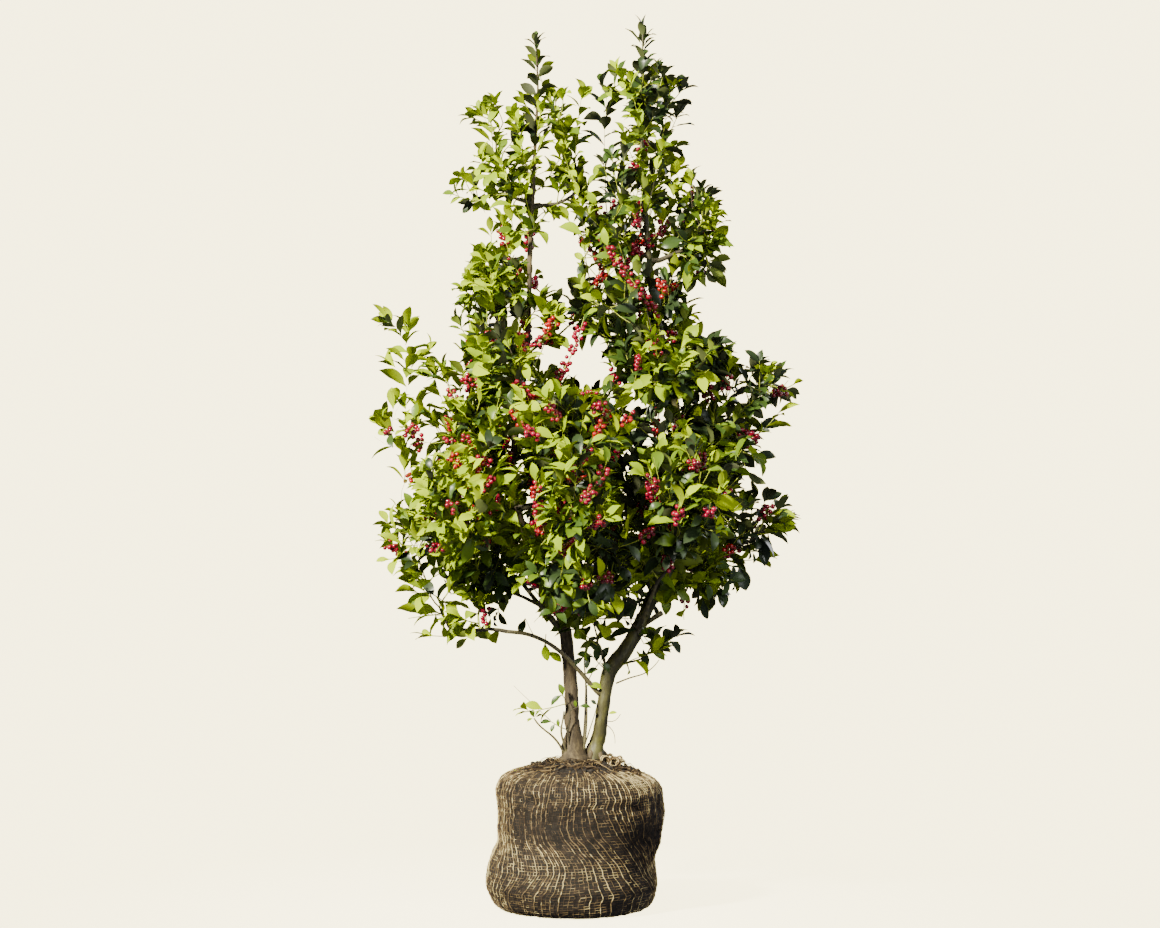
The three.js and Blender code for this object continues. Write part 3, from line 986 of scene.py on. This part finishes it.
# Each single leaf is its foot and its direction, length and tone of leaf.
SINGLE_LEAVES = [
    ((-26, -24, 430), (-0.8, -0.2, -0.5), 30, 3), ((-24, -24, 428), (-0.2, -0.2, 1), 26, 2),
    ((8, -30, 408), (0.9, -0.3, 0.1), 24, 3), ((2, -29, 406), (-0.2, -0.3, 1), 14, 2),
    ((-46, -22, 376), (-1, -0.1, 0.1), 24, 3), ((-40, -22, 372), (-0.5, -0.3, -0.8), 18, 3),
    ((-32, -22, 366), (-0.2, -0.3, 1), 16, 2), ((44, -16, 410), (-0.7, -0.3, 0.5), 16, 4),
    ((22, -12, 448), (0.9, -0.3, 0.1), 34, 1), ((20, -12, 470), (0.8, -0.4, 0.5), 30, 3),
    ((66, -16, 392), (0.9, -0.3, 0.3), 18, 0), ((-99, -12, 582), (-0.3, -0.4, -0.9), 34, 3),
    ((-60, -12, 532), (0.1, -0.2, -1), 36, 1), ((-56, -12, 516), (0.8, -0.2, -0.5), 36, 1),
    ((-50, -12, 556), (0.8, -0.4, 0.4), 34, 2), ((-34, -12, 566), (0.5, -0.4, 0.6), 34, 1),
    ((138, -16, 532), (1, -0.2, 0), 52, 2), ((146, -18, 530), (0.8, -0.2, -0.6), 46, 2),
    ((136, -16, 520), (0.2, -0.2, -1), 38, 3), ((126, -14, 548), (0.9, -0.3, 0.4), 40, 2),
    ((30, -20, 512), (-0.3, -0.4, -0.8), 32, 4), ((36, -20, 505), (-0.9, -0.3, 0.2), 34, 3),
    ((44, -18, 496), (0, -0.4, 0.9), 34, 3), ((52, -20, 498), (0.4, -0.3, 0.8), 32, 4),
    ((50, -20, 494), (0.9, -0.2, -0.5), 30, 3), ((24, -14, 536), (-0.5, -0.4, 0.7), 36, 1),
    ((24, -14, 538), (0.7, -0.4, -0.4), 36, 3), ((18, -14, 505), (-0.7, -0.3, -0.4), 30, 4),
    ((372, -10, 742), (0.2, -0.1, -1), 58, 4), ((326, -10, 690), (0.35, -0.1, -1), 56, 4),
    ((288, -10, 646), (0.3, -0.1, -1), 46, 3), ((256, -10, 618), (0.1, -0.1, -1), 40, 4),
    ((362, -10, 964), (1, -0.2, 0.3), 52, 4), ((360, -10, 908), (1, -0.2, 0), 42, 4),
    ((18, -58, 1180), (0.3, -0.2, 1), 36, 2), ((8, -66, 1146), (1, -0.2, 0.2), 34, 2),
    ((64, -84, 1320), (-0.3, -0.2, 1), 38, 1), ((78, -90, 1300), (-1, -0.2, 0.1), 38, 2),
]
# Dead wood, made darker than its own colour to paint the shade it stands in.
dead_twig_painted_shade = plain_material("dead_twig_painted_shade", (0.05, 0.038, 0.024), 0.85, (600, 0.5, 0.5 * MM))
sprig_lines = []
for points, thick, alive in SPRIGS:
    eased = even_line([(Vector(point) * MM, 0) for point in points], 7 * MM)[:, :3]
    radii = [thick * MM * (1 - 0.6 * step / len(eased)) for step in range(len(eased))]
    tone = 2 if not alive else 1 if eased[0][2] < 600 * MM else 0
    sprig_lines.append((eased, radii, tone))
sprigs = tubes("sprigs", sprig_lines, 2, [green_twig, brown_twig_painted_shade, dead_twig_painted_shade])
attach(sprigs, "root")

# --------------------------------
# Berries: round, glossy fruit in clusters on last year's wood, each on a short
# green stalk and with a small dark scar at its end.
# --------------------------------
BERRY_RADIUS = 4.9 * MM
BERRY_GAP = 1.55 * BERRY_RADIUS
CLUSTER_ROOM = 34 * MM
SCAR_HEIGHT = 0.93
SCAR_TONE = 3
BERRY_TONES = [(0.26, 0.001, 0.022), (0.18, 0.001, 0.013), (0.3, 0.005, 0.006)]
FRUITING_SPRIGS = slice(-2, None)
# How many clusters each mass of leaves carries.
BERRY_CLUSTERS = {
    "right_window": 15, "right_shoulder": 4, "right_middle": 9, "right_lower_middle": 9,
    "middle_bridge": 7, "left_neck": 2, "left_middle": 3, "left_lower_middle": 10, "left_lower": 9,
    "far_left": 4, "front_upper": 14, "front_lower": 16, "front_left": 12, "front_right": 16,
    "front_far": 12, "right_crown": 8, "right_lower": 6, "far_right_top": 1, "far_right_low": 4,
    "low_left_inner": 5, "low_left": 3, "heart": 8, "back_upper": 12, "back_lower": 12, "back_left": 10,
    "back_right": 10, "back_far": 10, "right_upper": 2,
}
berry_materials = [plain_material(f"berry_{number}", tone, 0.24, (300, 0.1, 0.3 * MM, 2), coat=0.4)
                   for number, tone in enumerate(BERRY_TONES)]
berry_materials.append(plain_material("berry_scar", (0.02, 0.012, 0.008), 0.8, (800, 0.3, 0.3 * MM)))
stalk_green = plain_material("berry_stalk", (0.22, 0.24, 0.03), 0.5, (500, 0.3, 0.3 * MM))


def shape_arrays(shape):
    """A finished bmesh as its places, its faces and their material numbers."""
    places = np.array([tuple(corner.co) for corner in shape.verts])
    faces = [[corner.index for corner in face.verts] for face in shape.faces]
    tones = np.array([face.material_index for face in shape.faces])
    shape.free()
    return places, faces, tones


def joined_copies(name, copies, materials):
    """Turned and scaled copies of small shapes in their spots, as one piece."""
    all_places = []
    all_faces = []
    all_tones = []
    offset = 0
    for places, faces, tones, axes, size, spot in copies:
        all_places.append(places @ axes * size + np.array(spot))
        all_faces += [[corner + offset for corner in face] for face in faces]
        all_tones.append(tones)
        offset += len(places)
    mesh = bpy.data.meshes.new(name)
    mesh.from_pydata(np.vstack(all_places).tolist(), [], all_faces)
    mesh.polygons.foreach_set("material_index", np.concatenate(all_tones).astype(np.int32))
    mesh.shade_smooth()
    return link_piece(name, mesh, materials)


berry_shape = bmesh.new()
bmesh.ops.create_uvsphere(berry_shape, u_segments=8, v_segments=6, radius=1)
for face in berry_shape.faces:
    face.material_index = 1 if face.calc_center_median().z > SCAR_HEIGHT else 0
for corner in berry_shape.verts:
    if corner.co.z > 0.99:
        corner.co.z = SCAR_HEIGHT
berry_places, berry_faces, berry_scars = shape_arrays(berry_shape)

fruit_draw = random.Random(404)
fruiting = [n for n in range(cad_wood, len(wood_at))
            if 25 * MM < tip_far[n] < GREEN_LENGTH and -36 * MM < past_crown(wood_at[n]) < 2 * MM]
clusters = []
berries = []
stalk_lines = []


def add_cluster(spot, way, open_way, tries):
    """Berries crowded round one joint of a twig, more of them on its open side."""
    clusters.append((spot, open_way))
    tone = fruit_draw.choice((0, 0, 0, 1, 1, 2))
    mine = []
    for repeat in range(tries):
        base = spot - way * fruit_draw.uniform(-15, 17) * MM
        out = scatter(fruit_draw, 1).normalized()
        out += open_way * 0.8
        out = (out - way * out.dot(way) * 0.7).normalized()
        place = base + out * fruit_draw.uniform(6.5, 10.5) * MM
        size = BERRY_RADIUS * fruit_draw.uniform(0.85, 1.1)
        if any((place - other).length < BERRY_GAP for other in mine):
            continue
        mine.append(place)
        shade = tone if fruit_draw.random() < 0.75 else fruit_draw.choice((0, 1))
        berries.append((place, out, size, shade))
        stalk_lines.append(([base, place - out * size * 0.8], [0.55 * MM, 0.5 * MM], 0))


for number, (points, radii, tone) in enumerate(sprig_lines[FRUITING_SPRIGS]):
    for step in range(3, len(points) - 2, 5 if number else 4):
        way = Vector(points[step + 1] - points[step]).normalized()
        add_cluster(Vector(points[step]), way, Vector((0, -1, 0)), fruit_draw.randint(3, 22))
for name, count in BERRY_CLUSTERS.items():
    tree = mass_trees["leaves_" + name]
    middle = mass_middles["leaves_" + name]
    near = [n for n in fruiting
            if (outer_point(tree, middle, (wood_at[n] - middle).normalized()) - middle).length
            > (wood_at[n] - middle).length]
    fruit_draw.shuffle(near)
    for number in near:
        if count == 0:
            break
        if any((wood_at[number] - other).length < CLUSTER_ROOM for other, open_way in clusters):
            continue
        count -= 1
        way = (wood_at[number] - wood_at[wood_from[number]]).normalized()
        hit = tree.find_nearest(wood_at[number])[0]
        open_way = (hit - wood_at[number]).normalized()
        add_cluster(wood_at[number], way, open_way, fruit_draw.randint(14, 34))

berry_copies = []
for place, out, size, shade in berries:
    axes = np.array(out.to_track_quat("Z", "Y").to_matrix()).T
    tones = np.where(berry_scars == 1, SCAR_TONE, shade)
    berry_copies.append((berry_places, berry_faces, tones, axes, size, place))
berry_piece = joined_copies("berries", berry_copies, berry_materials)
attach(berry_piece, "root")
stalks = tubes("berry_stalks", stalk_lines, 0, [stalk_green])
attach(stalks, "root")

# --------------------------------
# Leaves: thick, waxy, oval blades with a short stalk, folded along the midrib
# and hooked at the tip, set alternately and crowded at the ends of the shoots.
# --------------------------------
LEAF_GAP = 18 * MM
BUD_GAP = 4 * MM
LEAFY_LENGTH = 165 * MM
LEADER_LENGTH = 230 * MM
LEADER_POINTS = 28
LEAF_LIMIT = 19 * MM
LEAF_KINDS = 8
BLADE_ROWS = 7
BLADE_STALK = 0.09
BLADE_THICKNESS = 0.016
FRUIT_CLEARING = 31 * MM
# Deep inside the crown most leaves have dropped for want of light.
DEEP_SHADE = -65 * MM
DEEP_BARE = 0.65
TURN_ON = math.radians(137.5)
TUFT_LEAVES = 9
LEAVES_A_PIECE = 2000
# Tones of leaf: upper side, underside and gloss, from this year's soft leaves to the oldest. The bright and
# dark tones are also dealt out as painted light and painted shade.
LEAF_TONES = [
    ((0.29, 0.38, 0), (0.28, 0.36, 0), 0.01),
    ((0.2, 0.285, 0.001), (0.2, 0.26, 0.004), 0.05),
    ((0.088, 0.145, 0.006), (0.13, 0.17, 0.016), 0.2),
    ((0.034, 0.064, 0.01), (0.066, 0.08, 0.024), 0.27),
    ((0.02, 0.034, 0.011), (0.044, 0.05, 0.021), 0.3),
]


def leaf_blade(seed):
    """A closed, thin blade one unit long: base at the origin, tip along +Y, upper side up."""
    kind = random.Random(seed)
    wide = kind.uniform(0.195, 0.245)
    fold = kind.uniform(0.2, 0.6)
    arch = kind.uniform(0.03, 0.34)
    hook = kind.uniform(0.02, 0.16)
    swing = kind.uniform(-0.06, 0.06)
    widest = kind.uniform(0.85, 1.3)
    waves = kind.uniform(0.0, 0.02)
    shape = bmesh.new()
    bmesh.ops.create_grid(shape, x_segments=2, y_segments=BLADE_ROWS, size=0.5)
    upper = shape.verts[:]
    copied = bmesh.ops.duplicate(shape, geom=shape.verts[:] + shape.edges[:] + shape.faces[:])
    under = [part for part in copied["geom"] if isinstance(part, bmesh.types.BMVert)]
    under_faces = [part for part in copied["geom"] if isinstance(part, bmesh.types.BMFace)]
    bmesh.ops.reverse_faces(shape, faces=under_faces)
    for face in under_faces:
        face.material_index = 1
    for thickness, corners in ((0, upper), (-BLADE_THICKNESS, under)):
        for corner in corners:
            across = corner.co.x * 2
            along = corner.co.y + 0.5
            blade = max((along - BLADE_STALK) / (1 - BLADE_STALK), 0)
            half = 0.016 + wide * math.sin(math.pi * blade ** widest) ** 0.78
            if along > 0.99:
                half = 0.002
            x = across * half
            droop = arch * blade ** 2 + hook * max(blade - 0.7, 0) ** 1.4 * 6
            wave = waves * math.sin(blade * 15 + across * 2) * abs(across)
            inner = 1 - abs(across)
            lift = abs(x) * fold * (1 - 0.35 * abs(across))
            corner.co = Vector((
                x + swing * blade ** 2,
                along - 0.12 * droop,
                lift - droop + wave + thickness * inner * min(blade * 6, 1)))
    bmesh.ops.remove_doubles(shape, verts=shape.verts, dist=0.0012)
    shape.verts.ensure_lookup_table()
    return shape_arrays(shape)


leaf_kinds = [leaf_blade(seed) for seed in range(LEAF_KINDS)]
leaf_materials = []
for number, (upper_tone, under_tone, gloss) in enumerate(LEAF_TONES):
    leaf_materials.append(plain_material(
        f"leaf_{number}_upper", upper_tone, 0.37, (260, 0.25, 0.6 * MM, 2), gloss))
    leaf_materials.append(plain_material(
        f"leaf_{number}_under", under_tone, 0.65, (320, 0.25, 0.5 * MM, 2), min(gloss, 0.2)))

leaf_draw = random.Random(77)
leaves = []
cluster_tree = KDTree(len(clusters))
for number, (place, open_way) in enumerate(clusters):
    cluster_tree.insert(place + open_way * 16 * MM, number)
cluster_tree.balance()


def set_leaf(base, way, up, length, kind, tone):
    """A leaf by its foot, the way it points and the side its face looks to."""
    across = way.cross(up).normalized()
    leaves.append((base, across, way, across.cross(way), length, kind, tone))


def add_leaf(base, shoot_way, turn, spread, length, tone, limit):
    """A leaf standing off its shoot, its upper side towards the shoot's tip."""
    side = shoot_way.orthogonal().normalized()
    outward = Matrix.Rotation(turn, 3, shoot_way) @ side
    way = (shoot_way * math.cos(spread) + outward * math.sin(spread)).normalized()
    way = (way + Vector((0, 0, -0.12 * math.sin(spread)))).normalized()
    up = shoot_way * 0.75 + Vector((-0.15, 0, 0.6))
    up -= way * way.dot(up)
    if up.length < 0.05:
        up = way.orthogonal()
    up = Matrix.Rotation(leaf_draw.gauss(0, 0.45), 3, way) @ up.normalized()
    kind = leaf_draw.randrange(LEAF_KINDS)
    tip = base + way * length
    if past_crown(tip) > limit or tip.z < 300 * MM:
        return
    if cluster_tree.find(base + way * length * 0.6)[2] < FRUIT_CLEARING:
        return
    if past_crown(base) < DEEP_SHADE and leaf_draw.random() < DEEP_BARE:
        return
    set_leaf(base, way, up, length, kind, tone)


def spray_tone_with_painted_light(place):
    """A young bright spray or an older dark one. Bright ones are dealt more often on the left, where the key
    light falls, and outside: painted light there, painted shade inside and on the right.
    """
    outer = clamp((past_crown(place) + 40 * MM) / (40 * MM))
    # Painted light: the share of bright sprays rises towards the left and the outside of the crown.
    share = 0.36 - 1.4 * place.x + 0.3 * outer + 0.5 * noise.noise(place * 8)
    if leaf_draw.random() < clamp(share, 0.07, 0.85):
        return leaf_draw.choice((0, 0, 0, 1))
    return leaf_draw.choice((1, 2, 2, 3, 3, 4, 4))


def dress_shoot(places, length_back, limit=LEAF_LIMIT, gap=LEAF_GAP):
    """Leaves along a shoot from its tip back, crowded and smaller at the bud."""
    points = np.array([tuple(place) for place in places])
    along = lengths_along(points)
    total = along[-1]
    tone = spray_tone_with_painted_light(Vector(points[-1]))
    turn = leaf_draw.uniform(0, 6.28)
    size = leaf_draw.uniform(0.85, 1.12)
    size *= 1 - 0.14 * clamp((places[-1][2] - 1200 * MM) / (250 * MM))
    back = 0.0
    while back < min(length_back, total - 3 * MM):
        where = total - back
        place = Vector([np.interp(where, along, points[:, axis]) for axis in range(3)])
        earlier = max(where - 12 * MM, 0)
        before = Vector([np.interp(earlier, along, points[:, axis]) for axis in range(3)])
        way = (place - before).normalized()
        if way.length < 0.5:
            break
        crowd = min(back / (40 * MM), 1)
        spread = math.radians(20 + 27 * crowd + leaf_draw.gauss(0, 9))
        if place.z < 760 * MM and tone > 1:
            spread += math.radians(leaf_draw.uniform(0, 60))
        length = (36 + 15 * crowd) * MM * leaf_draw.uniform(0.8, 1.18) * size
        older = tone + int(back > 80 * MM) + leaf_draw.choice((0, 0, 0, 0, 1))
        shade = clamp(older, 0, len(LEAF_TONES) - 1)
        add_leaf(place, way, turn, spread, length, shade, limit)
        turn += TURN_ON + leaf_draw.gauss(0, 0.25)
        back += (BUD_GAP if back < 12 * MM else gap) * leaf_draw.uniform(0.8, 1.25)


for run in shoots:
    dress_shoot([wood_at[n] for n in run], LEAFY_LENGTH)
for line in stem_lines.values():
    dress_shoot(list(line[-LEADER_POINTS:, :3]), LEADER_LENGTH, limit=70 * MM, gap=9 * MM)

# The single leaves, the tuft on the left foot shoot and the one leaf fallen on the ball.
for foot, way, length, tone in SINGLE_LEAVES:
    way = Vector(way).normalized()
    up = Vector((leaf_draw.uniform(-0.4, 0.1), -0.7, 0.5 + leaf_draw.uniform(-0.3, 0.3)))
    set_leaf(Vector(foot) * MM, way, up, length * MM, leaf_draw.randrange(LEAF_KINDS), tone)
tuft = Vector(limb_lines["shoot_left"][-1, :3])
for number in range(TUFT_LEAVES):
    way = Vector((
        leaf_draw.gauss(-0.3, 0.7), leaf_draw.gauss(-0.3, 0.7), leaf_draw.gauss(0.5, 0.6))).normalized()
    length = leaf_draw.uniform(12, 18) * MM
    tone = leaf_draw.choice((1, 1, 2, 3))
    set_leaf(tuft + way * 3 * MM, way, Vector((-0.2, -0.4, 0.8)), length, number % LEAF_KINDS, tone)
fallen = on_top(-128 * MM, -22 * MM, 3 * MM)
leaves.append((fallen, Vector((0, -1, 0)), Vector((0.98, 0, 0.2)), Vector((-0.2, 0, 0.98)), 30 * MM, 2, 0))


def leaf_copies(chosen):
    """Each leaf as a turned and scaled copy of its kind of blade, in its tone."""
    for base, across, way, up, length, kind, tone in chosen:
        places, faces, sides = leaf_kinds[kind]
        yield places, faces, sides + 2 * tone, np.array([across, way, up]), length, base


leaves.sort(key=lambda leaf: leaf[0].x)
for number in range(0, len(leaves), LEAVES_A_PIECE):
    copies = leaf_copies(leaves[number:number + LEAVES_A_PIECE])
    piece = joined_copies(f"leaves_{number // LEAVES_A_PIECE}", copies, leaf_materials)
    piece.data.set_sharp_from_angle(angle=math.radians(100))
    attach(piece, "root")
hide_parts(*mass_nodes)

# --------------------------------
# Studio: a pale floor that fades into an even cream backdrop, a key light high
# on the left and a weak fill, and a level camera in front at mid height.
# --------------------------------
CREAM = (1, 0.885, 0.49)
CREAM_STRENGTH = 6
SENSOR_WIDTH = 36
LENS = 93.1
CAMERA_PLACE = (10 * MM, -6, 890 * MM)
LIGHTS_FACE = Vector((0, 0, 0.9))
scene = bpy.context.scene
camera = bpy.data.cameras.new("camera")
camera.sensor_width = SENSOR_WIDTH
camera.lens = LENS
camera_stand = add_object("camera", camera)
camera_stand.location = CAMERA_PLACE
camera_stand.rotation_euler = (math.radians(90), 0, 0)
scene.camera = camera_stand

backdrop_shape = bmesh.new()
bmesh.ops.create_icosphere(backdrop_shape, subdivisions=3, radius=40)
bmesh.ops.reverse_faces(backdrop_shape, faces=backdrop_shape.faces)
backdrop_material, nodes, links, shader = new_material("backdrop_cream", (0, 0, 0), 1)
set_inputs(shader, {
    "Specular IOR Level": 0, "Emission Color": (*CREAM, 1), "Emission Strength": CREAM_STRENGTH})
backdrop = shape_piece("backdrop", backdrop_shape, [backdrop_material])
backdrop.visible_diffuse = False
backdrop.visible_glossy = False
backdrop.visible_transmission = False
backdrop.visible_shadow = False

floor_shape = bmesh.new()
bmesh.ops.create_circle(floor_shape, cap_ends=True, segments=96, radius=1.6)
floor_material, nodes, links, shader = new_material("floor_cream", (0.34, 0.33, 0.3), 0.9)
set_inputs(shader, {
    "Specular IOR Level": 0, "Emission Color": (*CREAM, 1), "Emission Strength": 0.92 * CREAM_STRENGTH})
place = nodes.new("ShaderNodeTexCoord")
distance = nodes.new("ShaderNodeVectorMath")
distance.operation = "LENGTH"
fade = nodes.new("ShaderNodeMapRange")
set_inputs(fade, {"From Min": 0.25, "From Max": 1.1, "To Min": 1, "To Max": 0})
links.new(place.outputs["Object"], distance.inputs[0])
links.new(distance.outputs["Value"], fade.inputs["Value"])
links.new(fade.outputs["Result"], shader.inputs["Alpha"])
floor = shape_piece("floor", floor_shape, [floor_material])
floor.visible_diffuse = False
floor.visible_glossy = False

world = bpy.data.worlds.new("studio")
world.use_nodes = True
set_inputs(world.node_tree.nodes["Background"], {"Color": (0.86, 0.9, 1, 1), "Strength": 0.29})
scene.world = world


def studio_light(name, place, size, power, colour):
    """A round lamp that faces the middle of the plant."""
    lamp = bpy.data.lights.new(name, "AREA")
    lamp.shape = "DISK"
    lamp.size = size
    lamp.energy = power
    lamp.color = colour
    stand = add_object(name, lamp)
    stand.location = place
    aim = LIGHTS_FACE - Vector(place)
    stand.rotation_euler = aim.to_track_quat("-Z", "Y").to_euler()


studio_light("key", (-3.3, -3.8, 3.9), size=0.6, power=1800, colour=(1, 0.96, 0.78))
studio_light("fill", (3.5, -4.5, 2.5), size=3, power=170, colour=(0.97, 0.98, 1))
studio_light("back_fill", (3.2, 4.2, 2.6), size=3, power=120, colour=(0.97, 0.98, 1))
